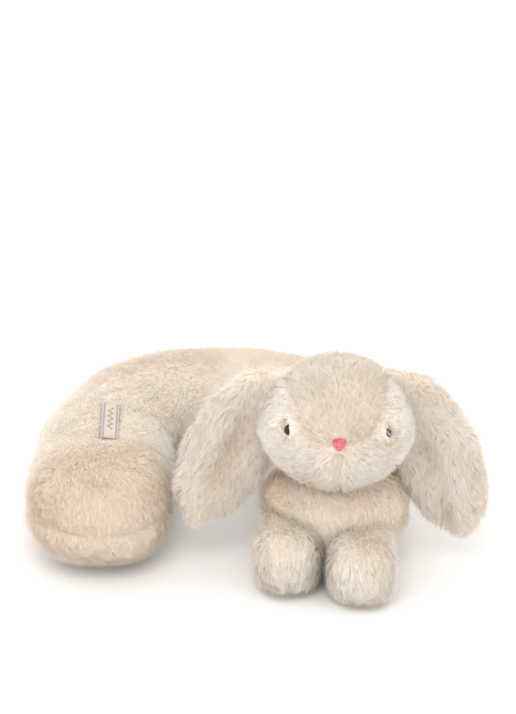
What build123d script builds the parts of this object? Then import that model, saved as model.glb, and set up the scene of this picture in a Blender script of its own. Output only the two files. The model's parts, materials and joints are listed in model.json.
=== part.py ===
"""A plush rabbit neck pillow: a U-shaped roll of long-pile fabric with a rabbit at the end of one arm.

The roll lies flat. Its right arm ends in the rabbit's chest, with the head sewn on top and two forelegs
in front; the left arm ends in a plain round nose and carries a woven label. Every covered form is a
closed fabric shell (backing and pressed pile) around its own filling, cut into panels along the seams.

Frame: +Z up, millimetres, the rabbit looking along -Y, origin on the floor under the middle of the
whole toy's bounding box. Everything is drawn about the centre of the U and moved there at the end.
"""

import os
from math import cos, degrees, radians, sin, sqrt, tan

from build123d import *

# The U-shaped roll
ROLL_RADIUS = 92.0  # centre line of the bend
ARM_LENGTH = 75.0  # straight part of each arm, before its round end
ROLL_HALF_WIDTH = 55.0
ROLL_HALF_HEIGHT = 45.0
ROLL_SINK = 2.5  # how far its own weight flattens the underside
SEAM_HEIGHT = 45.0  # seam between the top and base panels
FABRIC = 8.0  # backing plus pressed pile
FLEX_GAP = 0.5  # between the two halves where the roll flexes

# Head, a spheroid about the left-right axis
HEAD_CENTRE = Vector(88.5, -91.0, 120.0)
HEAD_HALF_WIDTH = 57.0
HEAD_RADIUS = 51.0
GUSSET_TIP = 4.0  # the forehead gusset ends in a blunt tip this far below the nose
GUSSET_SEAM = ((14.0, 0.0), (28.0, 16.0), (38.0, 60.0), (44.0, 130.0))  # half width, distance from the nose
GUSSET_LEAN = 68.0  # degrees above the horizon of the way in which the gusset widens

# Neck: the head sits in a hollow of the chest's crest and nods about the seam that holds it there
NOD_PIVOT = Vector(HEAD_CENTRE.X, HEAD_CENTRE.Y, 72.0)
NOD_RANGE = (-6.0, 8.0)  # degrees, back and forward
NECK_CLEARANCE = 0.6

# Face
EYE_SIDE = {-1: 34.8, 1: 33.6}  # from the head's centre
EYE_RISE = {-1: 12.0, 1: 9.8}  # the left eye was sewn in a little higher
EYE_RADIUS = 4.2
SHANK_RADIUS, SHANK_LENGTH = 1.6, 12.0
WASHER_RADIUS, WASHER_THICKNESS, WASHER_DEPTH = 6.0, 1.5, 8.9
FILLING_HALF_WIDTH, FILLING_RADIUS, FILLING_SETBACK = 44.0, 40.0, 2.5
NOSE_RISE, NOSE_WIDTH, NOSE_HEIGHT, NOSE_THICKNESS = 4.5, 11.0, 10.0, 1.2

# Ears: two layers of fabric, face to face
EAR_LENGTH = {-1: 140.0, 1: 146.0}
EAR_LAYER = 9.0
EAR_Y = -88.0
EAR_ROOT = (42.0, 37.0)  # sideways and up from the head's centre
EAR_HANG = {-1: 28.0, 1: 24.0}  # degrees outwards from straight down
EAR_EDGE = 5.0  # rounding of the rim
EAR_CLEARANCE = 4.0  # from the head, so that the ears can swing

# Forelegs
LEG_HALF_WIDTH, LEG_HALF_HEIGHT = 23.0, 26.5
LEG_SINK = 1.0
LEG_X = {-1: 53.0, 1: 106.8}
LEG_REACH = {-1: -128.0, 1: -143.0}  # where each leg's round end begins
CHEST_Y = -111.5  # flat of the chest that the legs are sewn to
SHOULDER_HEIGHT = 52.0
SHOULDER_SLOPE = 40.0  # degrees of the hollow above the legs, which lets them lift
LEG_GAP = 0.5

# Label
LABEL_CENTRE = (-84.0, -19.0)
LABEL_WIDTH, LABEL_LENGTH, LABEL_THICKNESS = 13.0, 60.0, 0.8

ROLL_HEIGHT = ROLL_HALF_HEIGHT - ROLL_SINK  # of the roll's centre line
LEG_HEIGHT = LEG_HALF_HEIGHT - LEG_SINK
BIG = 400.0  # larger than the toy, for cutting tools


def half_roll(grow=0.0):
    """The right half of the roll as one solid, its surface grow outside the fabric's (negative: inside)."""
    half_width, half_height = ROLL_HALF_WIDTH + grow, ROLL_HALF_HEIGHT + grow
    with BuildPart() as roll:
        with BuildSketch(Plane.XZ) as section:
            with Locations((ROLL_RADIUS, ROLL_HEIGHT)):
                Ellipse(half_width, half_height)
        revolve(section.sketch, axis=Axis.Z, revolution_arc=90)
        extrude(section.sketch, amount=ARM_LENGTH)
        with BuildSketch(Plane.XZ.offset(ARM_LENGTH)) as end_section:
            with Locations((ROLL_RADIUS, ROLL_HEIGHT)):
                Ellipse(half_width, half_height)
                Rectangle(BIG, BIG, align=(Align.MIN, Align.CENTER), mode=Mode.SUBTRACT)
        end_axis = Axis((ROLL_RADIUS, -ARM_LENGTH, 0), (0, 0, 1))
        revolve(end_section.sketch, axis=end_axis, revolution_arc=180)
        split(bisect_by=Plane.YZ.offset(FLEX_GAP / 2))
        split(bisect_by=Plane.XY)
    return roll.part


def spheroid(centre, half_width, radius):
    """An ellipsoid that is round about the left-right axis through centre."""
    with BuildPart() as ball:
        Sphere(radius)
        scale(by=(half_width / radius, 1, 1))
    return ball.part.moved(Location(centre))


def neck_hollows():
    """What is cut from the right arm's crest: the head, a little larger, at rest and at the ends of its nod."""
    hollows = []
    for nod in (NOD_RANGE[0], 0.0, NOD_RANGE[1]):
        lift = (HEAD_CENTRE - NOD_PIVOT).length
        offset = Vector(0, -lift * sin(radians(nod)), lift * cos(radians(nod)))
        hollow = spheroid(
            NOD_PIVOT + offset, HEAD_HALF_WIDTH + NECK_CLEARANCE, HEAD_RADIUS + NECK_CLEARANCE
        )
        hollows.append(hollow)
    return hollows


def shoulder_cut():
    """What is cut from the chest for the legs: a flat below and a slope above, which a lifted leg meets."""
    front = -BIG
    slope_top = SHOULDER_HEIGHT + (CHEST_Y - front) * tan(radians(SHOULDER_SLOPE))
    with BuildPart() as cut:
        with BuildSketch(Plane.YZ):
            with BuildLine():
                Polyline(
                    (CHEST_Y, -BIG),
                    (CHEST_Y, SHOULDER_HEIGHT),
                    (front, slope_top),
                    (front, -BIG),
                    close=True,
                )
            make_face()
        extrude(amount=BIG)
    return cut.part


roll_solid = half_roll()
roll_core = half_roll(-FABRIC)
head_solid = spheroid(HEAD_CENTRE, HEAD_HALF_WIDTH, HEAD_RADIUS)
head_core = spheroid(HEAD_CENTRE, HEAD_HALF_WIDTH - FABRIC, HEAD_RADIUS - FABRIC)
seam_plane = Plane.XY.offset(SEAM_HEIGHT)
pieces = {}  # node name: finished solid, drawn about the centre of the U


def finish(name, part):
    part.label = name
    pieces[name] = part


# --- Right half of the roll, with the rabbit's chest ---

with BuildPart() as pillow_top_panel:
    add(roll_solid)
    add(roll_core, mode=Mode.SUBTRACT)
    split(bisect_by=seam_plane, keep=Keep.TOP)
    add(neck_hollows(), mode=Mode.SUBTRACT)
    add(shoulder_cut(), mode=Mode.SUBTRACT)
finish("pillow_top_panel", pillow_top_panel.part)

with BuildPart() as pillow_base_panel:
    add(roll_solid)
    add(roll_core, mode=Mode.SUBTRACT)
    split(bisect_by=seam_plane, keep=Keep.BOTTOM)
    add(shoulder_cut(), mode=Mode.SUBTRACT)
finish("pillow_base_panel", pillow_base_panel.part)

with BuildPart() as pillow_filling:
    add(roll_core)
    add(neck_hollows(), mode=Mode.SUBTRACT)
    add(shoulder_cut(), mode=Mode.SUBTRACT)
finish("pillow_filling", pillow_filling.part)

# --- Left half of the roll, with the label ---

with BuildPart() as arm_top_panel:
    add(mirror(roll_solid, about=Plane.YZ))
    add(mirror(roll_core, about=Plane.YZ), mode=Mode.SUBTRACT)
    split(bisect_by=seam_plane, keep=Keep.TOP)
finish("arm_top_panel", arm_top_panel.part)

with BuildPart() as arm_base_panel:
    add(mirror(roll_solid, about=Plane.YZ))
    add(mirror(roll_core, about=Plane.YZ), mode=Mode.SUBTRACT)
    split(bisect_by=seam_plane, keep=Keep.BOTTOM)
finish("arm_base_panel", arm_base_panel.part)

with BuildPart() as arm_filling:
    add(mirror(roll_core, about=Plane.YZ))
finish("arm_filling", arm_filling.part)

# The label lies along the straight arm and bends with the roll at its far end.
label_near = -LABEL_CENTRE[1] + LABEL_LENGTH / 2
label_bend = degrees((LABEL_LENGTH - label_near) / -LABEL_CENTRE[0])
with BuildPart() as woven_label:
    with BuildSketch(Plane.XZ) as label_section:
        with Locations((-ROLL_RADIUS, ROLL_HEIGHT)):
            Ellipse(ROLL_HALF_WIDTH + LABEL_THICKNESS, ROLL_HALF_HEIGHT + LABEL_THICKNESS)
            Ellipse(ROLL_HALF_WIDTH, ROLL_HALF_HEIGHT, mode=Mode.SUBTRACT)
        with Locations((LABEL_CENTRE[0], ROLL_HEIGHT)):
            Rectangle(LABEL_WIDTH, BIG, align=(Align.CENTER, Align.MIN), mode=Mode.INTERSECT)
    extrude(label_section.sketch, amount=label_near)
    revolve(label_section.sketch, axis=Axis((0, 0, 0), (0, 0, -1)), revolution_arc=label_bend)
finish("woven_label", woven_label.part)

# --- Head ---


def gusset_wedge():
    """The wedge whose sides are the two gusset seams. It is blunt below the nose, and it opens up and back."""
    lean = radians(GUSSET_LEAN)
    nose_point = HEAD_CENTRE + Vector(0, -sqrt(HEAD_RADIUS**2 - NOSE_RISE**2), NOSE_RISE)
    opening = Vector(0, cos(lean), sin(lean))
    wedge_plane = Plane(origin=nose_point, x_dir=(1, 0, 0), z_dir=(0, sin(lean), -cos(lean)))
    toward = 1 if wedge_plane.y_dir.dot(opening) > 0 else -1
    right = [(half, toward * run) for half, run in GUSSET_SEAM]
    left = [(-half, toward * run) for half, run in reversed(GUSSET_SEAM)]
    with BuildPart() as wedge:
        with BuildSketch(wedge_plane):
            with BuildLine():
                Polyline((0, -toward * GUSSET_TIP), *right, *left, close=True)
            make_face()
        extrude(amount=BIG, both=True)
    return wedge.part


def eye_plane(side):
    """The plane that touches the head where an eye sits. Its normal points out of the head."""
    aside, rise = EYE_SIDE[side], EYE_RISE[side]
    forward = sqrt(HEAD_RADIUS**2 * (1 - (aside / HEAD_HALF_WIDTH) ** 2) - rise**2)
    normal = Vector(side * aside / HEAD_HALF_WIDTH**2, -forward / HEAD_RADIUS**2, rise / HEAD_RADIUS**2)
    return Plane(origin=HEAD_CENTRE + Vector(side * aside, -forward, rise), z_dir=normal)


SIDES = {-1: "left", 1: "right"}  # as seen from in front, facing the rabbit
inwards = (Align.CENTER, Align.CENTER, Align.MAX)
outwards = (Align.CENTER, Align.CENTER, Align.MIN)
wedge_solid = gusset_wedge()

with BuildPart() as head_cover:
    add(head_solid)
    add(head_core, mode=Mode.SUBTRACT)
    for eye_side in SIDES:
        with Locations(eye_plane(eye_side)):
            Cylinder(SHANK_RADIUS + 0.1, 3 * FABRIC, mode=Mode.SUBTRACT)

with BuildPart() as crown_gusset:
    add(head_cover.part)
    add(wedge_solid, mode=Mode.INTERSECT)
finish("crown_gusset", crown_gusset.part)

for side, word in SIDES.items():
    with BuildPart() as face_panel:
        add(head_cover.part)
        add(wedge_solid, mode=Mode.SUBTRACT)
        split(
            bisect_by=Plane.YZ.offset(HEAD_CENTRE.X),
            keep=Keep.TOP if side > 0 else Keep.BOTTOM,
        )
    finish(f"face_panel_{word}", face_panel.part)

# The filling stands back from the face, where the eyes' shanks and washers are
with BuildPart() as head_filling:
    add(spheroid(HEAD_CENTRE + Vector(0, FILLING_SETBACK, 0), FILLING_HALF_WIDTH, FILLING_RADIUS))
finish("head_filling", head_filling.part)

for side, word in SIDES.items():
    with BuildPart() as eye:
        with Locations(eye_plane(side)):
            Sphere(EYE_RADIUS, arc_size1=0, arc_size2=90, align=outwards)
            Cylinder(SHANK_RADIUS, SHANK_LENGTH, align=inwards)
    finish(f"eye_{word}", eye.part)

    with BuildPart() as eye_washer:
        with Locations(eye_plane(side).offset(-WASHER_DEPTH)):
            Cylinder(WASHER_RADIUS, WASHER_THICKNESS, align=inwards)
            Cylinder(SHANK_RADIUS + 0.05, 3 * WASHER_THICKNESS, mode=Mode.SUBTRACT)
    finish(f"eye_washer_{word}", eye_washer.part)

with BuildPart() as nose_embroidery:
    nose_origin = HEAD_CENTRE + Vector(0, 0, NOSE_RISE)
    with BuildSketch(Plane(origin=nose_origin, x_dir=(1, 0, 0), z_dir=(0, -1, 0))):
        with BuildLine():
            FilletPolyline(
                (-NOSE_WIDTH / 2, NOSE_HEIGHT / 2),
                (NOSE_WIDTH / 2, NOSE_HEIGHT / 2),
                (0.0, -NOSE_HEIGHT / 2),
                radius=1.8,
                close=True,
            )
        make_face()
    extrude(amount=BIG)
    add(
        spheroid(HEAD_CENTRE, HEAD_HALF_WIDTH + NOSE_THICKNESS, HEAD_RADIUS + NOSE_THICKNESS),
        mode=Mode.INTERSECT,
    )
    add(head_solid, mode=Mode.SUBTRACT)
finish("nose_embroidery", nose_embroidery.part)


# --- Ears ---


def ear_layer(side, front):
    """One fabric layer of an ear: a long leaf that hangs from the side of the head, rounded at its rim."""
    root = Vector(HEAD_CENTRE.X + side * EAR_ROOT[0], EAR_Y, HEAD_CENTRE.Z + EAR_ROOT[1])
    hang = radians(EAR_HANG[side])
    along = Vector(side * sin(hang), 0, -cos(hang))
    ear_plane = Plane(origin=root, x_dir=along, z_dir=(0, -1, 0))
    length = EAR_LENGTH[side]
    out = side  # on this plane, the way from the ear's middle line to its outer edge
    with BuildPart() as layer:
        with BuildSketch(ear_plane):
            with BuildLine():
                Spline(
                    (0, 0),
                    (10, out * 16),
                    (35, out * 30),
                    (80, out * 36),
                    (length - 24, out * 27),
                    (length, 0),
                    (length - 24, -out * 23),
                    (80, -out * 27),
                    (35, -out * 20),
                    (10, -out * 12),
                    periodic=True,
                )
            make_face()
        extrude(amount=EAR_LAYER if front else -EAR_LAYER)
        rim = layer.faces().sort_by(Axis.Y)[0 if front else -1]
        fillet(rim.edges(), EAR_EDGE)
        add(
            spheroid(HEAD_CENTRE, HEAD_HALF_WIDTH + EAR_CLEARANCE, HEAD_RADIUS + EAR_CLEARANCE),
            mode=Mode.SUBTRACT,
        )
    return layer.part


for side, word in SIDES.items():
    finish(f"ear_front_{word}", ear_layer(side, front=True))
    finish(f"ear_back_{word}", ear_layer(side, front=False))


# --- Forelegs ---


def leg_solid(side, grow=0.0):
    """A foreleg as one solid: a short tube from the chest with a round end, flat where it lies."""
    half_width, half_height = LEG_HALF_WIDTH + grow, LEG_HALF_HEIGHT + grow
    start = CHEST_Y - LEG_GAP
    tube = start - LEG_REACH[side]
    with BuildPart() as round_leg:
        with BuildSketch(Plane(origin=(0, 0, 0), x_dir=(0, -1, 0), z_dir=(0, 0, 1))):
            with BuildLine():
                Polyline((0, half_width), (0, 0), (tube + half_width, 0))
                Line((0, half_width), (tube, half_width))
                RadiusArc((tube, half_width), (tube + half_width, 0), half_width)
            make_face()
        revolve(axis=Axis((0, 0, 0), (0, -1, 0)), revolution_arc=360)
        scale(by=(1, 1, half_height / half_width))
    with BuildPart() as leg:
        add(round_leg.part.moved(Location((LEG_X[side], start, LEG_HEIGHT))))
        split(bisect_by=Plane.XY)
    return leg.part


for side, word in SIDES.items():
    leg_seam = Plane.XY.offset(LEG_HEIGHT)
    for name, kept in ((f"leg_top_{word}", Keep.TOP), (f"leg_sole_{word}", Keep.BOTTOM)):
        with BuildPart() as leg_panel:
            add(leg_solid(side))
            add(leg_solid(side, -FABRIC), mode=Mode.SUBTRACT)
            split(bisect_by=leg_seam, keep=kept)
        finish(name, leg_panel.part)
    finish(f"leg_filling_{word}", leg_solid(side, -FABRIC))


# --- Move everything to the frame's origin and write it ---

boxes = [piece.bounding_box() for piece in pieces.values()]
low = [min(box.min.X for box in boxes), min(box.min.Y for box in boxes), min(box.min.Z for box in boxes)]
high = [max(box.max.X for box in boxes), max(box.max.Y for box in boxes)]
to_origin = Location((-(low[0] + high[0]) / 2, -(low[1] + high[1]) / 2, -low[2]))

os.makedirs("parts", exist_ok=True)
for name, piece in pieces.items():
    moved_piece = piece.moved(to_origin)
    moved_piece.label = name
    export_step(moved_piece, f"parts/{name}.step")
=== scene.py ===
"""A plush rabbit neck pillow: skins, long pile, face and label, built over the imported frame.

Shapes are worked out in millimetres about the centre of the U, as the CAD draws them, and turned into the
frame's metres when a mesh is made. Left and right are as seen from in front, facing the rabbit: side is -1
on the left and 1 on the right.
"""

import json
from itertools import product

import bpy
import numpy as np
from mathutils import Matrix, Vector


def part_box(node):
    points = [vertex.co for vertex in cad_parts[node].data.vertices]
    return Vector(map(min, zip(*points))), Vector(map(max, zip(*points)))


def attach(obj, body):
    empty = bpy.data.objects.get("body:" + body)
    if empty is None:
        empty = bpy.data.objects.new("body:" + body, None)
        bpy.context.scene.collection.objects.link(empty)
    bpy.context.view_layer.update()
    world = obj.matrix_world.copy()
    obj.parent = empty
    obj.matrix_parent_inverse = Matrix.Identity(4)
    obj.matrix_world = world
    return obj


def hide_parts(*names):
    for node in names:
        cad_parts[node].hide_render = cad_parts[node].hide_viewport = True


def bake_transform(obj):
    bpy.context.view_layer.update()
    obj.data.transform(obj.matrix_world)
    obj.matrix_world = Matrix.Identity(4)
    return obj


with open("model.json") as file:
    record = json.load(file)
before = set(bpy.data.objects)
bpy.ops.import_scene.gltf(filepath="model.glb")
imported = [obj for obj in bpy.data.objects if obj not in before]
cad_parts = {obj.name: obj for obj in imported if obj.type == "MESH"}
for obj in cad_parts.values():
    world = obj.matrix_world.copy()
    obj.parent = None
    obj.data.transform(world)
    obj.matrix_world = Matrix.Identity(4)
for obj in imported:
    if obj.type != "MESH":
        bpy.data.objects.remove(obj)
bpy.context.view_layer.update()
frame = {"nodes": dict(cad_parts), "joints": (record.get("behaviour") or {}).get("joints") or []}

MM = 0.001
UP = np.array([0.0, 0.0, 1.0])
WORD = {-1: "left", 1: "right"}


def node_box(node):
    return [np.array(corner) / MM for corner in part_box(node)]


# ---------------------------------------------------------------- where things are

ROLL_RADIUS, ARM_LENGTH = 92.0, 75.0  # of the roll's centre line: its bend, and the straight on each side
ROLL_HALF_WIDTH, ROLL_HALF_HEIGHT = 51.0, 41.0  # of the roll's skin
ROLL_Z, SEAM_Z = 42.5, 45.0  # height of its centre line, and of the seam round its sides
FLEX_GAP = 0.5  # between the arm and the pillow, at the back of the bend

arm_low, arm_high = node_box("arm_top_panel")
FLEX_X = arm_high[0] + FLEX_GAP / 2
OUTER = FLEX_X - arm_low[0]
ORIGIN = np.array([FLEX_X, arm_high[1] - OUTER, 0.0])  # centre of the U

head_low, head_high = node_box("crown_gusset")
face_low, face_high = node_box("face_panel_left")
HEAD_RADIUS, HEAD_HALF_WIDTH = (head_high[2] - face_low[2]) / 2, 57.0
HEAD = np.array([face_high[0], (head_low[1] + head_high[1]) / 2, head_high[2] - HEAD_RADIUS]) - ORIGIN
SKULL_RADIUS, SKULL_HALF_WIDTH = HEAD_RADIUS - 4, 51.5  # of the head's skin, under the pile

EAR_LENGTH = {-1: 140.0, 1: 146.0}
EAR_HANG = {-1: 28.0, 1: 24.0}  # degrees outward from straight down

LEGS = {-1: (53.0, -128.0), 1: (106.8, -143.0)}  # middle of each leg, and where its round end begins
LEG_ROOT, LEG_ROUND = -100.0, 20.0  # where the legs start, and how far a round end reaches
LEG_Z, LEG_HALF_WIDTH, LEG_HALF_HEIGHT = 25.5, 21.0, 23.0


def drawn(point):
    """A point of the frame, in metres, as millimetres about the centre of the U."""
    return np.array(point) / MM - ORIGIN


def placed(point):
    """The other way round."""
    return (np.array(point) + ORIGIN) * MM


joint_at = {joint["name"]: drawn(joint["pos_m"]) for joint in frame["joints"]}

# ---------------------------------------------------------------- small maths


def unit(v):
    return v / np.maximum(np.linalg.norm(v, axis=-1, keepdims=True), 1e-9)


def dot(a, b):
    return (a * b).sum(-1)


def step(a, b, x):
    """From 0 at a to 1 at b, smoothly; a may be the larger."""
    t = np.clip((x - a) / (b - a), 0, 1)
    return t * t * (3 - 2 * t)


def bell(x, width):
    return np.exp(-((x / width) ** 2))


def hashed(cell, seed):
    """Random numbers from 0 to 1 for integer lattice cells, the same on every run."""
    h = cell[..., 0] * 374761393 + cell[..., 1] * 668265263 + cell[..., 2] * 1440662683 + seed * 1274126177
    h = (h ^ ((h & 0xFFFFFFFF) >> 13)) & 0xFFFFFFFF
    h = (h * 1274126177) & 0xFFFFFFFF
    h = h ^ (h >> 16)
    return (h & 0xFFFFFF) / float(0xFFFFFF)


def smooth_noise(points, size, seed):
    """Value noise from -1 to 1 with features of about size millimetres."""
    q = points / size
    cell = np.floor(q).astype(np.int64)
    f = q - cell
    f = f * f * (3 - 2 * f)
    total = 0.0
    for corner in product((0, 1), repeat=3):
        weight = np.prod(np.where(np.array(corner), f, 1 - f), axis=-1)
        total = total + weight * hashed(cell + np.array(corner), seed)
    return total * 2 - 1


def lumps(points, size, seed):
    return 0.65 * smooth_noise(points, size, seed) + 0.35 * smooth_noise(points, size * 0.47, seed + 7)


def nearest_tuft(points, size, seed):
    """The nearest of a jittered lattice of tuft centres to each point, and a random number for that tuft."""
    cell = np.floor(points / size).astype(np.int64)
    best = np.full(len(points), 1e9)
    centre = np.zeros_like(points)
    number = np.zeros(len(points))
    for offset in product((-1, 0, 1), repeat=3):
        c = cell + np.array(offset)
        jitter = np.stack([hashed(c, seed + k) for k in range(3)], axis=-1)
        spot = (c + jitter) * size
        distance = np.linalg.norm(points - spot, axis=-1)
        nearer = distance < best
        best = np.where(nearer, distance, best)
        centre = np.where(nearer[:, None], spot, centre)
        number = np.where(nearer, hashed(c, seed + 3), number)
    return centre, number


def superellipse(angle, power):
    c, s = np.cos(angle), np.sin(angle)
    return np.sign(c) * np.abs(c) ** (2 / power), np.sign(s) * np.abs(s) ** (2 / power)


# ---------------------------------------------------------------- surfaces


class Skin:
    """A closed surface through rings of points; its first and last ring are drawn together to a point."""

    def __init__(self, rings):
        n, m, _ = rings.shape
        self.verts = np.concatenate([rings[:1].mean(1), rings[1:-1].reshape(-1, 3), rings[-1:].mean(1)])
        faces = []
        last = len(self.verts) - 1
        for j in range(m):
            k = (j + 1) % m
            faces.append((0, 1 + k, 1 + j))
            faces.append((last, last - m + j, last - m + k))
        for i in range(n - 3):
            for j in range(m):
                k = (j + 1) % m
                a, b = 1 + i * m, 1 + (i + 1) * m
                faces.append((a + j, a + k, b + k, b + j))
        self.faces = faces
        quads = np.array([f for f in faces if len(f) == 4])
        caps = np.array([f for f in faces if len(f) == 3])
        self.tris = np.concatenate([quads[:, [0, 1, 2]], quads[:, [0, 2, 3]], caps])
        a, b, c = self.corners()
        if dot(a, np.cross(b, c)).sum() < 0:
            self.faces = [f[::-1] for f in faces]
            self.tris = self.tris[:, ::-1]

    def corners(self):
        return [self.verts[self.tris[:, i]] for i in range(3)]

    def normals(self):
        a, b, c = self.corners()
        face = np.cross(b - a, c - a)
        total = np.zeros_like(self.verts)
        for i in range(3):
            np.add.at(total, self.tris[:, i], face)
        return unit(total)

    def push(self, amount):
        self.verts = self.verts + self.normals() * np.asarray(amount)[..., None]

    def scatter(self, density, rng):
        """Random points on the surface, density per square millimetre, with their normals."""
        a, b, c = self.corners()
        area = np.linalg.norm(np.cross(b - a, c - a), axis=-1) / 2
        count = int(area.sum() * density)
        index = rng.choice(len(area), size=count, p=area / area.sum())
        u, v = rng.random(count), rng.random(count)
        over = u + v > 1
        u[over], v[over] = 1 - u[over], 1 - v[over]
        shares = (1 - u - v, u, v)
        t = self.tris[index]

        def mix(data):
            return sum(data[t[:, i]] * share[:, None] for i, share in enumerate(shares))

        return mix(self.verts), unit(mix(self.normals()))


def on_floor(points):
    """Lets the underside spread flat just above the floor instead of going through it."""
    gap, soft = 1.2, 2.5
    z = points[..., 2]
    lifted = gap + soft * np.logaddexp(0, (z - gap) / soft)
    points[..., 2] = np.where(z < gap + 6 * soft, lifted, z)
    return points


# ---------------------------------------------------------------- the roll's shape


def roll_frame(s):
    """Centre line of the roll at distance s from the start of the left arm: point and outward direction."""
    bend = np.pi * ROLL_RADIUS
    theta = np.clip((s - ARM_LENGTH) / ROLL_RADIUS, 0, np.pi)
    outward = np.stack([-np.cos(theta), np.sin(theta), 0 * theta], axis=-1)
    centre = outward * ROLL_RADIUS
    centre[..., 1] += np.minimum(s - ARM_LENGTH, 0) - np.maximum(s - ARM_LENGTH - bend, 0)
    centre[..., 2] = ROLL_Z
    return centre, outward


def roll_value(points, more=0.0):
    """Below 1 inside the roll's skin made that much thicker, above 1 outside."""
    x, y, z = points[..., 0], points[..., 1], points[..., 2]
    across = np.where(y > 0, np.hypot(x, y), np.abs(x)) - ROLL_RADIUS
    across = np.where(y < -ARM_LENGTH, np.hypot(np.abs(x) - ROLL_RADIUS, y + ARM_LENGTH), across)
    return (across / (ROLL_HALF_WIDTH + more)) ** 2 + ((z - ROLL_Z) / (ROLL_HALF_HEIGHT + more)) ** 2


def roll_rings():
    around = np.linspace(0, 2 * np.pi, 104, endpoint=False)
    across, high = superellipse(around, 2.12)
    length = 2 * ARM_LENGTH + np.pi * ROLL_RADIUS
    cap = np.linspace(-np.pi / 2, 0, 18)[:-1]
    stations = [(0.0, ROLL_HALF_WIDTH * np.sin(t), np.cos(t)) for t in cap]
    stations += [(s, 0.0, 1.0) for s in np.linspace(0, length, 150)]
    stations += [(length, -ROLL_HALF_WIDTH * np.sin(t), np.cos(t)) for t in cap[::-1]]
    rings = []
    for s, beyond, scale in stations:
        centre, outward = roll_frame(np.array(s))
        centre = centre + np.array([0, beyond if s == 0 else -beyond, 0])
        scale = max(scale, 1e-3) ** 0.95
        wide, tall = ROLL_HALF_WIDTH * scale * across, ROLL_HALF_HEIGHT * scale * high
        rings.append(centre + outward * wide[:, None] + UP * tall[:, None])
    return np.array(rings)


def chest_fold(p, chest):
    """How deep the two creases are that run across the chest."""
    upper = bell(p[:, 2] - 63 - 0.05 * (p[:, 0] - 92) - 2.5 * smooth_noise(p, 14, 6), 2.6)
    lower = bell(p[:, 2] - 51 + 0.22 * np.abs(p[:, 0] - 84) - 2 * smooth_noise(p, 11, 8), 2.2)
    tucks = 0.7 * upper + 0.45 * lower
    return chest * tucks * (1.6 + 1.0 * smooth_noise(p, 22, 9)) * step(30, 10, np.abs(p[:, 0] - 82))


def roll_fullness(p):
    """How far the filling pushes the skin out at the back, and along the inside of the left arm."""
    at_back = 4.0 * step(20, 95, p[:, 1]) * step(45, 75, p[:, 2])
    return at_back + 4.5 * step(10, -50, p[:, 1]) * step(-88, -50, p[:, 0]) * (p[:, 0] < 0)


def make_roll():
    skin = Skin(roll_rings())
    p = skin.verts
    seam = bell(p[:, 2] - SEAM_Z - 1.5 * smooth_noise(p, 30, 3), 4.0)
    dents = 2.8 + 1.4 * smooth_noise(p, 16, 5)
    sag = 2.2 * lumps(p, 42, 11) + 1.0 * lumps(p, 15, 12)
    chest = step(-96, -112, p[:, 1]) * (p[:, 0] > 0)
    bust = 6.5 * step(-50, -82, p[:, 1]) * bell(p[:, 2] - 54, 24) * step(66, 40, p[:, 0]) * (p[:, 0] > 0)
    skin.push(sag - seam * dents * (1 - 0.8 * chest) - chest_fold(p, chest) + bust + roll_fullness(p))
    skin.verts = on_floor(skin.verts)
    return skin


# ---------------------------------------------------------------- the head's shape


def head_value(points, more=0.0):
    """Below 1 inside the head's skin made that much thicker, above 1 outside."""
    q = points - HEAD
    half_width, radius = SKULL_HALF_WIDTH + more, SKULL_RADIUS + more
    return (q[..., 0] / half_width) ** 2 + (q[..., 1] ** 2 + q[..., 2] ** 2) / radius**2


def on_head(x, z):
    """The point of the CAD head's front that is x to the side of its centre and z above it."""
    y = -np.sqrt(HEAD_RADIUS**2 * (1 - (x / HEAD_HALF_WIDTH) ** 2) - z**2)
    return HEAD + np.stack([x, y, z], axis=-1)


NOSE = on_head(0.0, 6.3)
EYES = {-1: on_head(-34.8, 12.0), 1: on_head(33.6, 9.8)}
EYE_SLITS = {-1: (2.5, 5.0, 4.0), 1: (1.2, 4.4, -30.0)}  # what the fur leaves open: half sizes and tilt
LID_HEIGHT, PAD_HEIGHT = 5.2, 3.4  # the fold on each side of a slit, and the soft pad that carries both

GUSSET_SEAM = ((0.0, -4.0), (14.0, 0.0), (28.0, 16.0), (38.0, 60.0), (44.0, 130.0))  # half width, run
GUSSET_LEAN = np.radians(68)


def around_eye(p, side):
    """How far points are from an eye across and along the slit that the fur leaves open."""
    away = p - EYES[side]
    tilt = np.radians(EYE_SLITS[side][2])
    across = away[..., 0] * np.cos(tilt) - away[..., 2] * np.sin(tilt)
    return across, away[..., 0] * np.sin(tilt) + away[..., 2] * np.cos(tilt)


def gusset_offset(q):
    """How far a point of the head is outside the gusset's nearer seam, and below 0 on the gusset."""
    nose = NOSE - HEAD
    run = (q[..., 1] - nose[1]) * np.cos(GUSSET_LEAN) + (q[..., 2] - nose[2]) * np.sin(GUSSET_LEAN)
    halves, runs = zip(*GUSSET_SEAM)
    return np.maximum(np.abs(q[..., 0]) - np.interp(run, runs, halves), runs[0] - run)


def eyelids(p, front):
    """How far the skin rises around the eyes, so that only a slit of each stays open."""
    rise = 0.0
    for side, (half_width, half_height, _) in EYE_SLITS.items():
        across, along_slit = around_eye(p, side)
        beside = np.abs(across)
        opening = half_width * np.sqrt(np.clip(1 - (along_slit / (half_height + 0.8)) ** 2, 0, 1))
        rim = step(opening - 0.6, opening + 1.4, beside) * step(opening + 9, opening + 3, beside)
        apart = np.linalg.norm(p - EYES[side], axis=-1)
        rise = rise + (LID_HEIGHT * rim * bell(along_slit, 7.0) + PAD_HEIGHT * bell(apart, 14)) * front
    return rise


def head_front(y):
    return step(-5, -35, y)


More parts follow.
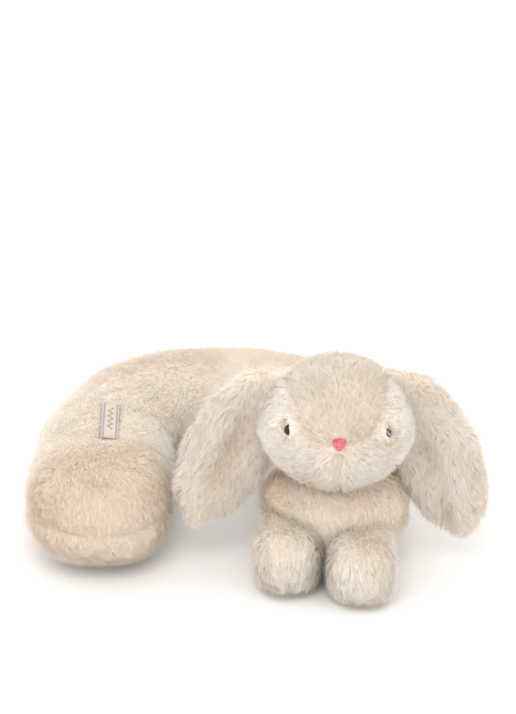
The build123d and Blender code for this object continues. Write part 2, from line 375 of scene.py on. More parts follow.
def head_rings():
    along = np.linspace(0, np.pi, 116)
    around = np.linspace(0, 2 * np.pi, 160, endpoint=False)
    x = -SKULL_HALF_WIDTH * np.cos(along)[:, None] + 0 * around
    y = SKULL_RADIUS * np.sin(along)[:, None] * np.sin(around)
    z = SKULL_RADIUS * np.sin(along)[:, None] * np.cos(around)
    front = head_front(y)
    x = x * (1 + 0.05 * bell(z + 12, 22) - 0.03 * step(15, 45, z))  # fuller at the cheeks than at the crown
    y = y - 3.0 * bell(x, 20) * bell(z + 8, 16) * front  # the muzzle
    return np.stack([x, y, z], axis=-1) + HEAD


def make_head():
    skin = Skin(head_rings())
    q = skin.verts - HEAD
    front = head_front(q[:, 1])
    chin = bell(q[:, 0], 2.6) * step(0, -4, q[:, 2]) * front
    seam = bell(gusset_offset(q), 2.2)
    lids = eyelids(skin.verts, front)
    skin.push(1.1 * lumps(q, 26, 21) + 0.6 * lumps(q, 9, 22) - 2.4 * chin - 0.8 * seam + lids)
    return skin


# ---------------------------------------------------------------- the ears' and legs' shapes


def ear_frame(side):
    """An ear's root, the direction it hangs in, and the direction across it away from the head."""
    root = joint_at[f"ear_lift_{WORD[side]}"]
    hang = np.radians(EAR_HANG[side])
    along = np.array([side * np.sin(hang), 0, -np.cos(hang)])
    out = np.array([side * np.cos(hang), 0, np.sin(hang)])
    return root, along, out


def ear_creases(side, down, across):
    """From 0 to 1, how deep in a crease the points are that lie down along an ear and across it."""
    if side < 0:
        return bell(across - 3 + 0.10 * (down - 60), 8) * bell(down - 66, 32)
    low = bell(across + 10 + 0.3 * (down - 122), 6) * bell(down - 120, 16)
    return 0.8 * bell(across + 3, 8) * bell(down - 70, 24) + 0.7 * low


def ear_widths(stations, end):
    """The skin's outer and inner half width at each station down the ear: narrow, then full, then round."""
    knots = [-6, -2, 10, 35, 80, end - 20, end - 7, end]
    widths = []
    for half_widths in ([3, 8, 19, 28, 33, 24, 12, 0], [3, 7, 13, 20, 28, 22, 11, 0]):
        w = np.interp(stations, knots, half_widths)
        w = np.convolve(np.pad(w, 3, mode="edge"), np.ones(7) / 7, "valid")
        w[-1] = 0
        widths.append(w)
    return widths


def ear_rings(side):
    root, along, out = ear_frame(side)
    longest = max(EAR_LENGTH.values())
    end = EAR_LENGTH[side] - 4
    stations = np.concatenate([[-6], np.linspace(-4, end - 9, 64), [end - 5, end - 2, end]])
    outer, inner = ear_widths(stations, end)
    thick = 6.6 * np.sqrt(np.clip(1 - ((stations - 68) / 76) ** 4, 0.02, 1))
    around = np.linspace(0, 2 * np.pi, 72, endpoint=False)
    c, s = superellipse(around, 2.3)
    rings = []
    for d, wide, narrow, half in zip(stations, outer, inner, thick):
        offset = np.where(c > 0, wide * c, narrow * c)
        curl = -0.0035 * offset**2 * step(0, 60, d)
        drape = -5.0 * np.sin(np.pi * np.clip(d / longest, 0, 1)) + 3.0 * step(90, longest, d)
        inward = step(16, -6, d)
        ring = root + along * d + out * offset[:, None] + inward * np.array([-side * 12.0, 3.0, -4.0])
        ring = ring + np.array([0, -1.0, 0]) * (half * s + curl + drape)[:, None]
        rings.append(ring)
    return np.array(rings)


def make_ear(side):
    root, along, out = ear_frame(side)
    skin = Skin(ear_rings(side))
    q = skin.verts - root
    fold = 5.0 * ear_creases(side, q @ along, q @ out) * (skin.normals()[:, 1] < 0)
    skin.push(1.2 * lumps(skin.verts, 24, 31 + side) + 0.6 * lumps(skin.verts, 9, 33) - fold)
    return skin


def leg_value(points, side, more=0.0):
    """Below 1 inside a leg's skin made that much thicker, above 1 outside."""
    x, reach = LEGS[side]
    q = points - np.array([x, 0, LEG_Z])
    forward = np.maximum(reach - points[..., 1], 0)
    across = np.hypot(q[..., 0], forward)
    return (across / (LEG_HALF_WIDTH + more)) ** 2 + (q[..., 2] / (LEG_HALF_HEIGHT + more)) ** 2


def make_leg(side):
    x, reach = LEGS[side]
    end = reach - LEG_ROUND
    round_end = reach - LEG_ROUND * np.sin(np.linspace(0, np.pi / 2, 18))[1:]
    along = np.concatenate([np.linspace(LEG_ROOT, reach, 26), round_end])
    around = np.linspace(0, 2 * np.pi, 72, endpoint=False)
    c, s = superellipse(around, 2.8)
    rings = [np.tile([x, LEG_ROOT + 3, LEG_Z], (len(around), 1)).astype(float)]
    for y in along:
        scale = np.sqrt(max(1 - (max(reach - y, 0) / LEG_ROUND) ** 2, 1e-6))
        size = scale * (1 + 0.03 * bell(y - reach, 14))
        drop = 1.5 * step(-112, end, y)
        wide, tall = LEG_HALF_WIDTH * size * c, LEG_HALF_HEIGHT * size * s
        rings.append(np.stack([x + wide, 0 * c + y, LEG_Z - drop + tall], axis=-1))
    skin = Skin(np.array(rings))
    p = skin.verts
    skin.push(1.1 * lumps(p, 20, 41 + side) + 0.5 * lumps(p, 8, 43))
    skin.verts = on_floor(skin.verts)
    return skin


# ---------------------------------------------------------------- materials

OFF, ON = (0, 0, 0), (1, 1, 1)


def material(name, roughness, specular, sheen=0.0):
    made = bpy.data.materials.new(name)
    made.use_nodes = True
    tree = made.node_tree
    shader = tree.nodes["Principled BSDF"]
    shader.inputs["Roughness"].default_value = roughness
    shader.inputs["Specular IOR Level"].default_value = specular
    shader.inputs["Sheen Weight"].default_value = sheen
    shader.inputs["Sheen Roughness"].default_value = 0.5
    return made, tree, shader


def ramp(tree, source, stops):
    node = tree.nodes.new("ShaderNodeValToRGB")
    elements = node.color_ramp.elements
    while len(elements) < len(stops):
        elements.new(0.5)
    for element, (position, colour) in zip(elements, stops):
        element.position = position
        element.color = (*colour, 1)
    tree.links.new(source, node.inputs["Fac"])
    return node.outputs["Color"]


def noise_texture(tree, scale, detail):
    coordinates = tree.nodes.new("ShaderNodeTexCoord")
    node = tree.nodes.new("ShaderNodeTexNoise")
    node.inputs["Scale"].default_value = scale
    node.inputs["Detail"].default_value = detail
    tree.links.new(coordinates.outputs["Object"], node.inputs["Vector"])
    return node.outputs["Fac"]


def uv_parts(tree, uv_map):
    """The two coordinates of a UV map."""
    uv = tree.nodes.new("ShaderNodeUVMap")
    uv.uv_map = uv_map
    split = tree.nodes.new("ShaderNodeSeparateXYZ")
    tree.links.new(uv.outputs["UV"], split.inputs["Vector"])
    return split.outputs["X"], split.outputs["Y"]


def mixed(tree, first, second, factor):
    node = tree.nodes.new("ShaderNodeMix")
    node.data_type = "RGBA"
    for socket, value in ((node.inputs[6], first), (node.inputs[7], second), (node.inputs[0], factor)):
        if isinstance(value, tuple):
            socket.default_value = (*value, 1)
        else:
            tree.links.new(value, socket)
    return node.outputs[2]


def math_node(tree, operation, first, second=0.0):
    node = tree.nodes.new("ShaderNodeMath")
    node.operation = operation
    for socket, value in zip(node.inputs, (first, second)):
        if isinstance(value, (int, float)):
            socket.default_value = value
        else:
            tree.links.new(value, socket)
    return node.outputs[0]


def backing_material(name, deep, light):
    """Knitted backing and the roots of the pile, seen only where the pile parts, painted darker than the pile
    as the shade deep in it.
    """
    made, tree, shader = material(name, 0.95, 0.1, 0.2)
    colour = ramp(tree, noise_texture(tree, 160, 3.0), ((0.35, deep), (0.65, light)))
    tree.links.new(colour, shader.inputs["Base Color"])
    return made


def pile_material(name, roots, tips):
    """Pile, in a dark and a light tone at the roots and at the tips: u is the strand's tone and v runs from
    root to tip. The roots are painted darker than the tips, as painted shade deep in the pile. Half of the
    light goes through a strand."""
    made, tree, shader = material(name, 0.8, 0.05)
    tone, height = uv_parts(tree, "OFBake")
    root, tip = (ramp(tree, tone, ((0.1, dark), (0.9, light))) for dark, light in (roots, tips))
    colour = mixed(tree, root, tip, ramp(tree, height, ((0.1, OFF), (0.75, ON))))
    tree.links.new(colour, shader.inputs["Base Color"])
    through = tree.nodes.new("ShaderNodeBsdfTranslucent")
    tree.links.new(colour, through.inputs["Color"])
    mix = tree.nodes.new("ShaderNodeMixShader")
    mix.inputs["Fac"].default_value = 0.5
    tree.links.new(shader.outputs[0], mix.inputs[1])
    tree.links.new(through.outputs[0], mix.inputs[2])
    tree.links.new(mix.outputs[0], tree.nodes["Material Output"].inputs["Surface"])
    return made


def plain_material(name, dark, light, roughness, scale, specular, bump=0.0):
    """A material whose colour wanders between two tones, with a fine relief if bump is given."""
    made, tree, shader = material(name, roughness, specular)
    grain = noise_texture(tree, scale, 4.0)
    tree.links.new(ramp(tree, grain, ((0.3, dark), (0.7, light))), shader.inputs["Base Color"])
    if bump:
        relief = tree.nodes.new("ShaderNodeBump")
        relief.inputs["Strength"].default_value = bump
        relief.inputs["Distance"].default_value = 0.0004
        tree.links.new(grain, relief.inputs["Height"])
        tree.links.new(relief.outputs["Normal"], shader.inputs["Normal"])
    return made


def label_material():
    """Woven tape: a line along each edge, a zigzag down the middle, and the weave."""
    made, tree, shader = material("woven_tape", 0.7, 0.3, 0.1)
    across, down = uv_parts(tree, "tape")

    def calc(operation, first, second=0.0):
        return math_node(tree, operation, first, second)

    from_middle = calc("SUBTRACT", across, 0.5)
    edge = ramp(tree, calc("ABSOLUTE", from_middle), ((0.31, OFF), (0.34, ON), (0.43, ON), (0.45, OFF)))
    swing = calc("PINGPONG", calc("MULTIPLY", down, 7.0), 0.5)
    swing = calc("MULTIPLY", calc("SUBTRACT", swing, 0.25), 0.55)
    zigzag = ramp(tree, calc("ABSOLUTE", calc("SUBTRACT", from_middle, swing)), ((0.05, ON), (0.09, OFF)))
    middle_part = ramp(tree, calc("ABSOLUTE", calc("SUBTRACT", down, 0.5)), ((0.30, ON), (0.31, OFF)))
    zigzag = calc("MULTIPLY", zigzag, middle_part)
    weft = calc("PINGPONG", calc("MULTIPLY", down, 130.0), 1.0)
    warp = calc("PINGPONG", calc("MULTIPLY", across, 34.0), 1.0)
    weave = calc("ADD", calc("MULTIPLY", weft, 0.6), calc("MULTIPLY", warp, 0.4))
    ground = ramp(tree, weave, ((0.1, (0.42, 0.355, 0.29)), (0.6, (0.54, 0.455, 0.38))))
    colour = mixed(tree, ground, (0.27, 0.25, 0.31), edge)
    colour = mixed(tree, colour, (0.24, 0.20, 0.20), zigzag)
    tree.links.new(colour, shader.inputs["Base Color"])
    return made


# Painted shade: the backing and the pile's roots are darker than the tips, for the shade deep in the pile.
CREAM_BACKING = backing_material("cream_backing", (0.68, 0.57, 0.45), (0.79, 0.69, 0.575))
CREAM_PILE = pile_material(
    "cream_pile",
    roots=((0.79, 0.69, 0.57), (0.92, 0.85, 0.765)),
    tips=((0.89, 0.82, 0.735), (0.99, 0.97, 0.94)),
)
BEIGE_PILE = pile_material(
    "beige_pile",
    roots=((0.71, 0.61, 0.495), (0.85, 0.77, 0.67)),
    tips=((0.82, 0.745, 0.66), (0.94, 0.90, 0.84)),
)
# Painted light: the roll's pile is a paler copy of the cream pile, so that the roll looks more brightly lit.
ROLL_PILE_PAINTED_LIGHT = pile_material(
    "roll_pile_painted_light",
    roots=((0.84, 0.735, 0.615), (0.97, 0.90, 0.81)),
    tips=((0.93, 0.85, 0.755), (1.0, 0.975, 0.93)),
)
COTTON = plain_material("beige_cotton", (0.60, 0.46, 0.32), (0.74, 0.60, 0.45), 0.8, 900, 0.2)
PINK = plain_material("pink_floss", (0.42, 0.055, 0.085), (0.82, 0.22, 0.27), 0.5, 700, 0.3)
GLOSS = plain_material("black_gloss", (0.004, 0.003, 0.003), (0.012, 0.009, 0.008), 0.10, 300, 0.4)
WHITE = plain_material("white_plastic", (0.74, 0.73, 0.70), (0.84, 0.83, 0.80), 0.45, 500, 0.5, bump=0.2)
FIBRE = plain_material("white_fibre", (0.66, 0.65, 0.62), (0.88, 0.87, 0.85), 0.95, 260, 0.1, bump=1.0)

# ---------------------------------------------------------------- meshes

BLADE = np.array([0, 1, 3, 0, 3, 2, 2, 3, 4])  # a strand's three triangles: root pair, middle pair and tip
THREAD_SIDES = 6


def new_object(name, mesh, mesh_material):
    mesh.materials.append(mesh_material)
    made = bpy.data.objects.new(name, mesh)
    bpy.context.scene.collection.objects.link(made)
    return made


def solid_mesh(name, verts, faces):
    mesh = bpy.data.meshes.new(name)
    mesh.from_pydata((verts + ORIGIN) * MM, [], faces)
    mesh.polygons.foreach_set("use_smooth", np.ones(len(mesh.polygons), dtype=bool))
    return mesh


def skin_object(name, skin):
    return new_object(name, solid_mesh(name, skin.verts, skin.faces), CREAM_BACKING)


def strand_mesh(name, root, mid, tip, side, normal, width, tone):
    """One mesh of tapered blades, shaded mostly as the skin they grow from."""
    n = len(root)
    blade = unit(np.cross(side, tip - root))
    outwards = np.where(dot(blade, normal) < 0, -1.0, 1.0)[:, None]
    half = side * outwards * (width / 2)[:, None]
    co = np.stack([root - half, root + half, mid - half * 0.85, mid + half * 0.85, tip], axis=1)
    co = (co.reshape(-1, 3) + ORIGIN) * MM
    index = (np.arange(n)[:, None] * 5 + BLADE).reshape(-1)
    mesh = bpy.data.meshes.new(name)
    mesh.vertices.add(n * 5)
    mesh.vertices.foreach_set("co", co.astype(np.float32).ravel())
    mesh.loops.add(n * 9)
    mesh.loops.foreach_set("vertex_index", index.astype(np.int32))
    mesh.polygons.add(n * 3)
    mesh.polygons.foreach_set("loop_start", np.arange(0, n * 9, 3, dtype=np.int32))
    mesh.update(calc_edges=True)
    mesh.polygons.foreach_set("use_smooth", np.ones(n * 3, dtype=bool))
    layer = mesh.uv_layers.new(name="OFBake")
    u = np.clip(tone, 0.02, 0.98)
    corner_u = np.stack([u - 0.008, u + 0.008, u - 0.007, u + 0.007, u], axis=1)
    corner_v = np.tile([0.02, 0.02, 0.5, 0.5, 0.98], (n, 1))
    uv = np.stack([corner_u, corner_v], axis=-1).reshape(-1, 2)[index]
    layer.data.foreach_set("uv", uv.astype(np.float32).ravel())
    shade = unit(normal + blade * outwards * 0.25)
    mesh.normals_split_custom_set_from_vertices(np.repeat(shade, 5, axis=0).tolist())
    return mesh


def threads(name, paths, radius, thread_material):
    """One mesh of closed tubes along paths, each a list of points with a direction out of the cloth."""
    verts, faces = [], []
    turn = np.linspace(0, 2 * np.pi, THREAD_SIDES, endpoint=False)
    for path, out in paths:
        path = np.array(path)
        along = unit(np.gradient(path, axis=0))
        side = unit(np.cross(along, out))
        up = np.cross(side, along)
        size = radius * np.sqrt(np.clip(1 - np.linspace(-1, 1, len(path)) ** 6, 0.1, 1))
        first = len(verts)
        for point, a, b, r in zip(path, side, up, size):
            verts += list(point + r * (np.cos(turn)[:, None] * a + np.sin(turn)[:, None] * b))
        last = len(verts) - THREAD_SIDES
        for a in range(first, last, THREAD_SIDES):
            b = a + THREAD_SIDES
            for j in range(THREAD_SIDES):
                k = (j + 1) % THREAD_SIDES
                faces.append((a + j, a + k, b + k, b + j))
        faces.append(tuple(first + j for j in range(THREAD_SIDES))[::-1])
        faces.append(tuple(last + j for j in range(THREAD_SIDES)))
    return new_object(name, solid_mesh(name, np.array(verts), faces), thread_material)


# ---------------------------------------------------------------- pile

STRANDS_PER_MM2, STRAND_WIDTH = ((1.8, 0.38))
STRANDS_PER_OBJECT = 60000
TUFT = 4.2  # from one tuft to the next


def lie_of_pile(p, n, nap, seed, swirl, rng):
    """The way each strand lies along the skin: the nap's, turned in wide swirls, in locks and at random."""
    way = nap(p, n)
    way = unit(way - n * dot(way, n)[:, None] + 1e-4)
    swirls, locks = smooth_noise(p, 17, seed + 1), smooth_noise(p, 6, seed + 2)
    turn = swirl * np.radians(38) * swirls + np.radians(30) * locks + rng.normal(0, np.radians(12), len(p))
    return way * np.cos(turn)[:, None] + np.cross(n, way) * np.sin(turn)[:, None]


def bent_strands(p, n, way, lean, long):
    """Roots, middles and tips of strands that lean over more and more, and lie almost flat at the floor."""
    first, second = lean - np.radians(16), lean + np.radians(14)
    height = step(0.0, 7.0, p[:, 2] - 1.0 + 6 * np.maximum(n[:, 2] + 0.75, 0))
    d1 = n * (np.cos(first) * (0.15 + 0.85 * height))[:, None] + way * np.sin(first)[:, None]
    d2 = n * (np.cos(second) * (0.1 + 0.9 * height))[:, None] + way * np.sin(second)[:, None]
    root = p - n * 0.9
    mid = root + d1 * (0.5 * long)[:, None]
    return root, mid, mid + d2 * (0.5 * long)[:, None]


def pull_to_tuft(p, n, centre):
    """The way along the skin to the middle of each strand's tuft, and how much of it the tip is drawn."""
    toward = centre - p
    toward = toward - n * dot(toward, n)[:, None]
    pull = 0.38 * np.clip(1 - np.linalg.norm(toward, axis=-1) / (1.6 * TUFT), 0, 1)
    return toward, pull


def grow(name, skin, seed, nap, keep, dense, length, pile=CREAM_PILE, slot="fur", shade=0.5, swirl=1.0):
    """Pile on a skin. nap gives the way the strands lie, and keep the share of them that grows, their length
    and how upright they stand, each for points and normals. shade is the pile's tone, or gives it for points;
    on the roll and the ears it holds painted light and shade.
    Returns objects of at most STRANDS_PER_OBJECT strands."""
    rng = np.random.default_rng(seed)
    p, n = skin.scatter(dense * STRANDS_PER_MM2, rng)
    share, reach, upright = keep(p, n)
    grown = rng.random(len(p)) < share
    p, n, reach, upright = p[grown], n[grown], reach[grown], upright[grown]
    count = len(p)
    way = lie_of_pile(p, n, nap, seed, swirl, rng)
    centre, number = nearest_tuft(p, TUFT, seed + 10)
    lean = np.radians(57 + 12 * (number - 0.5) + 9 * smooth_noise(p, 12, seed + 4) + rng.normal(0, 6, count))
    stray = rng.random(count) < 0.26
    lean = np.where(stray, lean - np.radians(24), lean) * (1 - 0.75 * upright)
    long = reach * length * (0.82 + 0.28 * number + rng.normal(0, 0.1, count))
    root, mid, tip = bent_strands(p, n, way, lean, long)
    toward, pull = pull_to_tuft(p, n, centre)
    mid = mid + toward * (0.3 * pull)[:, None]
    tip = tip + toward * pull[:, None] + rng.normal(0, 0.55, (count, 3))
    twist = rng.normal(0, 0.5, count)
    blade_side = unit(np.cross(tip - root, n))
    blade_side = unit(blade_side * np.cos(twist)[:, None] + n * np.sin(twist)[:, None])
    width = STRAND_WIDTH * rng.uniform(0.75, 1.25, count) * np.where(stray, 0.7, 1.0)
    tone = shade(p) if callable(shade) else shade
    tone = tone + 0.20 * smooth_noise(p, 13, seed + 5) + 0.16 * smooth_noise(p, 40, seed + 6)
    tone = tone + 0.16 * (number - 0.5) + rng.normal(0, 0.08, count)
    for points, lowest in ((root, 0.6), (mid, 0.35), (tip, 0.35)):
        points[:, 2] = np.maximum(points[:, 2], lowest)
    made = []
    objects = max(1, -(-count // STRANDS_PER_OBJECT))
    for i in range(objects):
        some = slice(i, None, objects)
        title = name if objects == 1 else f"{name}_{i + 1}"
        strands = (data[some] for data in (root, mid, tip, blade_side, n, width, tone))
        made.append(new_object(title, strand_mesh(title, *strands), pile))
    return made


# ---------------------------------------------------------------- the label's place on the roll

LABEL_MIDDLE, LABEL_WIDTH, LABEL_LENGTH = np.array([-84.0, -19.0]), 13.0, 60.0
LABEL_TURN = np.radians(2.5)
LABEL_HEIGHT, LABEL_BED = 44.1, 55.0  # above the roll's centre line, and half the roll's width there


def on_label(p):
    """Distances from the label's middle, across it and along it toward the back."""
    q = p[..., :2] - LABEL_MIDDLE
    c, s = np.cos(LABEL_TURN), np.sin(LABEL_TURN)
    return q[..., 0] * c + q[..., 1] * s, q[..., 1] * c - q[..., 0] * s


def label_point(u, v, lift):
    """The point at u, v of the label, lift above its underside."""
    c, s = np.cos(LABEL_TURN), np.sin(LABEL_TURN)
    x, y = LABEL_MIDDLE[0] + u * c - v * s, LABEL_MIDDLE[1] + u * s + v * c
    sunk = 1.6 * step(LABEL_LENGTH / 2 - 5, LABEL_LENGTH / 2, np.abs(v))
    height = LABEL_HEIGHT + 0.5 * smooth_noise(np.stack([x, y, 0 * x], axis=-1), 9, 61) - sunk
    z = ROLL_Z + height * np.sqrt(1 - ((x + ROLL_RADIUS) / LABEL_BED) ** 2) + lift
    return np.stack([x, y, z], axis=-1)


# ---------------------------------------------------------------- the roll

roll, head = make_roll(), make_head()
ears = {side: make_ear(side) for side in (-1, 1)}
legs = {side: make_leg(side) for side in (-1, 1)}


def roll_nap(p, n):
    """The pile lies toward the front on both sides, and turns over the outside of the bend between them."""
    around = unit(np.stack([-np.maximum(p[:, 1], 0), p[:, 0], 0 * p[:, 0]], axis=-1))
    outward = np.cross(around, n)
    turned = np.pi * step(-20, 80, p[:, 0])
    way = 0.8 * around * np.cos(turned)[:, None] + outward * np.sin(turned)[:, None]
    way[:, 0] += (0.25 + 0.35 * n[:, 0]) * step(30, -30, p[:, 1])
    way[:, 2] -= 0.5
    return way


def roll_keep(top):
    """Pile above or below the seam, but not inside the head or the legs, nor under the label."""

    def keep(p, n):
        share = ((p[:, 2] >= SEAM_Z) == top) * 1.0
        share = share * (head_value(p, 2) > 1)
        for side in (-1, 1):
            share = share * ((leg_value(p, side, -2) > 1) | (p[:, 1] > LEG_ROOT))
        share = share * np.where((n[:, 2] < -0.9) & (p[:, 2] < 6), 0.8, 1.0)
        u, v = on_label(p)
        outside = np.maximum(np.abs(u) - LABEL_WIDTH / 2, np.abs(v) - LABEL_LENGTH / 2)
        share = share * ((outside > -0.4) | (n[:, 2] < 0))
        reach = 1 - 0.3 * bell(p[:, 2] - SEAM_Z, 3.5)
        reach = reach * (1 - 0.4 * step(6, 0, outside) * (n[:, 2] > 0))
        reach = reach * np.where(p[:, 2] < 6, 0.7, 1.0)
        return share, reach, 0 * share

    return keep


def roll_painted_light(p):
    """Painted light and shade in the pile's tone: palest halfway along the sides, darker at the front ends
    and at the back, paler on the chest than on the arm, and painted paler close to the floor where the
    contact shadow falls.
    """
    shade = 0.12 + 0.85 * step(-115, 0, p[:, 1]) - 0.75 * step(40, 105, p[:, 1])
    shade = shade + 0.28 * step(-90, -105, p[:, 1]) * (p[:, 0] > 0)
    return shade + 0.55 * bell(p[:, 2] - 2, 22)


roll_skin = skin_object("pillow_cover", roll)
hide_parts("pillow_top_panel", "pillow_base_panel", "arm_top_panel", "arm_base_panel")
roll_pieces = [roll_skin]
for level, upper, seed, dense in (("top", True, 100, 1.1), ("base", False, 130, 1.0)):
    roll_pieces += grow(
        f"pillow_pile_{level}", roll, seed, roll_nap, roll_keep(upper),
        dense=dense, length=8.6, pile=ROLL_PILE_PAINTED_LIGHT, shade=roll_painted_light, swirl=0.6,
    )
for piece in roll_pieces:
    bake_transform(piece)

# ---------------------------------------------------------------- the woven label


def make_label():
    """A closed strip of tape that follows the roll, with a slight wave along its edges."""
    nu, nv = 14, 56
    across = np.linspace(-LABEL_WIDTH / 2, LABEL_WIDTH / 2, nu)
    u, v = np.meshgrid(across, np.linspace(-LABEL_LENGTH / 2, LABEL_LENGTH / 2, nv))
    wave = 0.35 * np.sin(v / 4.1) * (np.abs(u) / LABEL_WIDTH) + 0.3 * step(4.5, 6.5, np.abs(u))
    layers = [label_point(u, v, wave + lift).reshape(-1, 3) for lift in (0.0, 0.45)]
    count = nu * nv
    faces = []
    for i in range(nv - 1):
        for j in range(nu - 1):
            a = i * nu + j
            faces.append((a + count, a + 1 + count, a + nu + 1 + count, a + nu + count))
            faces.append((a, a + nu, a + nu + 1, a + 1))
    rim = list(range(nu)) + [i * nu + nu - 1 for i in range(1, nv)]
    rim += [(nv - 1) * nu + j for j in range(nu - 2, -1, -1)] + [i * nu for i in range(nv - 2, 0, -1)]
    for a, b in zip(rim, rim[1:] + rim[:1]):
        faces.append((a, b, b + count, a + count))
    mesh = solid_mesh("label_tape", np.concatenate(layers), faces)
    flat = np.stack([u / LABEL_WIDTH + 0.5, v / LABEL_LENGTH + 0.5], axis=-1).reshape(-1, 2)
    index = np.zeros(len(mesh.loops), dtype=np.int32)
    mesh.loops.foreach_get("vertex_index", index)
    mesh.uv_layers.new(name="tape").data.foreach_set("uv", flat[index % count].astype(np.float32).ravel())
    return new_object("label_tape", mesh, label_material())


def label_stitch_paths():
    """Two rows of stitches across the far end of the label, and one across the near end."""
    hump = 0.55 + 0.35 * np.sin(np.linspace(0, np.pi, 5))
    paths = []
    for end, rows in ((1, 2), (-1, 1)):
        for row in range(rows):
            for i in range(6):
                u = np.linspace(i * 2.0 - 5.7, i * 2.0 - 4.3, 5)
                v = end * (LABEL_LENGTH / 2 - 1.6 - 1.9 * row) + 0 * u
                paths.append((label_point(u, v, hump), UP))
    return paths


label = make_label()
stitches = threads("label_stitches", label_stitch_paths(), 0.28, COTTON)
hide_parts("woven_label")
for piece in (label, stitches):
    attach(piece, "arm")

# ---------------------------------------------------------------- the head


def head_nap(p, n):
    """The pile lies down and outward on the face, up and back on the gusset, and away from eyes and nose."""
    q = p - HEAD
    cheek = np.stack([0.06 * q[:, 0], -0.1 + 0 * q[:, 0], -0.7 + 0 * q[:, 0]], axis=-1)
    cheek[:, 0] += 0.5 * np.sign(q[:, 0]) * step(0, 18, np.abs(q[:, 0]))
    up = np.stack([0.016 * q[:, 0], 0.55 + 0 * q[:, 0], 0.85 + 0 * q[:, 0]], axis=-1)
    above = step(9, -7, gusset_offset(q))[:, None]
    way = unit(cheek * (1 - above) + up * above)
    for side in (-1, 1):
        away = unit((p - EYES[side]) * [-0.1, 0.5, 1])
        way = way + away * 0.9 * step(9, 5, np.linalg.norm(p - EYES[side], axis=-1))[:, None]
    away = unit((p - NOSE) * [1, 0, 1])
    return way + away * 0.3 * step(9, 5, np.linalg.norm(p - NOSE, axis=-1))[:, None]


def head_keep(beige):
    """Pile on the gusset or beside it, with the slits before the eyes and the nose left open."""

    def keep(p, n):
        q = p - HEAD
        on_gusset = gusset_offset(q) + 1.6 * smooth_noise(p, 3.0, 240) < 0
        share = (on_gusset == beige) * 1.0
        share = share * (roll_value(p, -6) > 1)
        reach, upright = np.ones(len(p)), np.zeros(len(p))
        for side in (-1, 1):
            across, along_slit = around_eye(p, side)
            slit = np.hypot(across / (EYE_SLITS[side][0] + 0.3), along_slit / EYE_SLITS[side][1])
            share = share * ((slit > 1) | (q[:, 1] > 0))
            near = step(9.0, 5.5, np.linalg.norm(p - EYES[side], axis=-1))
            beside = near * step(0.5, 1.6, np.abs(across) / (0.5 + np.abs(along_slit)))
            upright = np.maximum(upright, 0.5 * beside)
            reach = reach * (1 - 0.4 * (near - beside)) * (1 - 0.35 * beside)
        near_nose = np.hypot((p[:, 0] - NOSE[0]) / 4.6, (p[:, 2] - NOSE[2]) / 4.2)
        at_front = q[:, 1] < -30
        share = share * np.where(at_front & (near_nose < 1), 0.0, 1.0)
        reach = reach * np.where(at_front, 0.72 + 0.28 * step(1.0, 2.0, near_nose), 1.0)
        reach = reach * (1 - 0.25 * bell(q[:, 0], 2.5) * at_front * (q[:, 2] < -3))
        return share, reach, upright

    return keep


head_skin = skin_object("head_cover", head)
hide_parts("crown_gusset", "face_panel_left", "face_panel_right")
head_pieces = [head_skin]
head_pieces += grow("face_pile", head, 200, head_nap, head_keep(False), dense=1.15, length=8.5, shade=0.72)
head_pieces += grow(
    "gusset_pile", head, 230, head_nap, head_keep(True),
    dense=1.15, length=8.0, pile=BEIGE_PILE, slot="fur_beige",
)
for piece in head_pieces:
    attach(piece, "head")

# ---------------------------------------------------------------- the nose, and the nodes that stay


def nose_paths():
    """Upright satin stitches over a padded, rounded triangle, and three across its top edge."""
    rng = np.random.default_rng(7)
    out = np.array([0.0, -1.0, 0.0])
    middle = NOSE[2] - HEAD[2]

    def stitch(x, z, dome):
        point = on_head(x, middle + z)
        point[:, 1] -= dome
        return point, out

    s = np.linspace(0, 1, 11)
    bulge = np.sin(np.pi * np.clip(s, 0.02, 0.98)) ** 0.6
    paths = []
    for t in np.linspace(-0.97, 0.97, 22):
        top, bottom = 4.9 - 2.6 * abs(t) ** 2.4, -5.1 + 5.2 * abs(t) ** 2.2
        x = 5.1 * t * (1 - 0.12 * (1 - s)) + rng.normal(0, 0.08)
        z = bottom + (top - bottom) * s + rng.normal(0, 0.15)
        paths.append(stitch(x, z, 2.0 * np.sqrt(1 - t * t) * bulge - 0.4))
    for row in range(3):
        x = (4.1 - 0.4 * row) * (2 * s - 1)
        z = 3.5 - 0.6 * row + 1.1 * bulge + rng.normal(0, 0.05)
        paths.append(stitch(x, z, 1.1 + 0.45 * row * bulge))
    return paths


nose = threads("nose_stitches", nose_paths(), 0.36, PINK)
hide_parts("nose_embroidery")
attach(nose, "head")

KEPT = {
    GLOSS: ("eye_left", "eye_right"),
    WHITE: ("eye_washer_left", "eye_washer_right"),
    FIBRE: ("pillow_filling", "arm_filling", "head_filling", "leg_filling_left", "leg_filling_right"),
}
for kept_material, kept_nodes in KEPT.items():
    for node in kept_nodes:
        for place in frame["nodes"][node].material_slots:
            place.material = kept_material

# ---------------------------------------------------------------- the ears


def ear_coat(side):
    """How an ear's pile lies and grows, and its tone: full length clear of the root, with painted shade in
    the creases.
    """
    root, along, out = ear_frame(side)

    def nap(p, n):
        across = (p - root) @ out
        return along + out * (0.012 * across)[:, None] + np.array([0, 0, -0.25])

    def keep(p, n):
        down = (p - root) @ along
        return (head_value(p, -12) > 1) * 1.0, 0.6 + 0.4 * step(-4, 22, down), 0 * down

    # Painted shade: the ear's pile is toned darker than the face's, and darker still in the creases.
    def shade(p):
        return 0.52 - 0.9 * ear_creases(side, (p - root) @ along, (p - root) @ out)

    return {"nap": nap, "keep": keep, "shade": shade}


for side in (-1, 1):
    ear_skin = skin_object(f"ear_cover_{WORD[side]}", ears[side])
    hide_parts(f"ear_front_{WORD[side]}", f"ear_back_{WORD[side]}")
    pieces = [ear_skin]
    pieces += grow(f"ear_pile_{WORD[side]}", ears[side], 300 + side, dense=1.1, length=10.0, **ear_coat(side))
    for piece in pieces:
        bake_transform(piece)

# ---------------------------------------------------------------- the forelegs


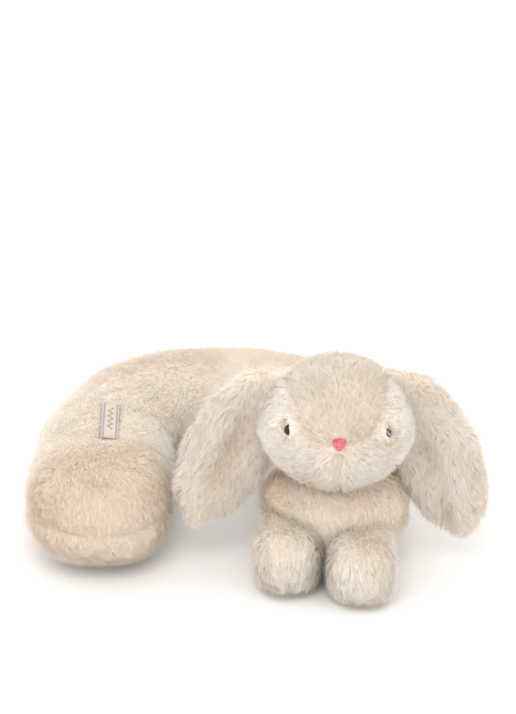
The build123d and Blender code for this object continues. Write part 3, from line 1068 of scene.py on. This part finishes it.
def leg_coat(side):
    """How a leg's pile lies and grows, and its tone: forward and down, and shorter at the floor."""
    middle = LEGS[side][0]

    def nap(p, n):
        way = np.tile([0.0, -0.8, -0.45], (len(p), 1))
        way[:, 0] += 0.012 * (p[:, 0] - middle)
        return way

    def keep(p, n):
        share = (roll_value(p, -4) > 1) * 1.0
        return share, np.where(p[:, 2] < 6, 0.75, 1.0), 0 * share

    return {"nap": nap, "keep": keep, "shade": 0.66}


for side in (-1, 1):
    leg_skin = skin_object(f"leg_cover_{WORD[side]}", legs[side])
    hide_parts(f"leg_top_{WORD[side]}", f"leg_sole_{WORD[side]}")
    pieces = [leg_skin]
    pieces += grow(f"leg_pile_{WORD[side]}", legs[side], 400 + side, dense=1.1, length=9.5, **leg_coat(side))
    for piece in pieces:
        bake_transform(piece)

# ---------------------------------------------------------------- floor, light and camera

FLOOR_HALF = 4  # metres
FLOOR_COLOUR = (0.785, 0.77, 0.755, 1)
SKY_STRENGTH = 1.53


def make_floor():
    corners = [(x * FLOOR_HALF, y * FLOOR_HALF, 0) for x, y in ((-1, -1), (1, -1), (1, 1), (-1, 1))]
    mesh = bpy.data.meshes.new("floor")
    mesh.from_pydata(corners, [], [(0, 1, 2, 3)])
    paper, _, shader = material("floor_paper", 0.9, 0.0)
    shader.inputs["Base Color"].default_value = FLOOR_COLOUR
    mesh.materials.append(paper)
    made = bpy.data.objects.new("floor", mesh)
    bpy.context.scene.collection.objects.link(made)
    return made


def light_sky():
    world = bpy.data.worlds.new("studio")
    bpy.context.scene.world = world
    world.use_nodes = True
    background = world.node_tree.nodes["Background"]
    background.inputs["Color"].default_value = (1, 1, 1, 1)
    background.inputs["Strength"].default_value = SKY_STRENGTH


def softbox(name, at, aim, size, power):
    """A rectangular light of a size in metres and a power in watts, facing the point it aims at."""
    light = bpy.data.lights.new(name, "AREA")
    light.shape = "RECTANGLE"
    light.size, light.size_y = size
    light.energy = power
    made = bpy.data.objects.new(name, light)
    made.location = at
    direction = np.array(aim) - np.array(at)
    made.rotation_euler = Vector(direction).to_track_quat("-Z", "Y").to_euler()
    bpy.context.scene.collection.objects.link(made)


def aim_camera(at, down, lens):
    """A camera that looks along +Y, tilted down by degrees."""
    camera_data = bpy.data.cameras.new("camera")
    camera_data.lens = lens
    camera_data.sensor_width = 36.0
    camera = bpy.data.objects.new("camera", camera_data)
    camera.location = placed(at)
    camera.rotation_euler = (np.radians(90 - down), 0, 0)
    bpy.context.scene.collection.objects.link(camera)
    bpy.context.scene.camera = camera


floor = make_floor()
light_sky()
softbox("key", at=(-0.25, -0.9, 1.5), aim=(0, 0, 0.05), size=(0.7, 0.7), power=5.6)
softbox("fill", at=(0.0, -1.7, 0.4), aim=(0, 0, 0.06), size=(1.8, 0.5), power=2.5)
aim_camera(at=[31.0, -1266.0, 702.0], down=24.3, lens=90.0)
bpy.context.scene.view_settings.view_transform = "Standard"
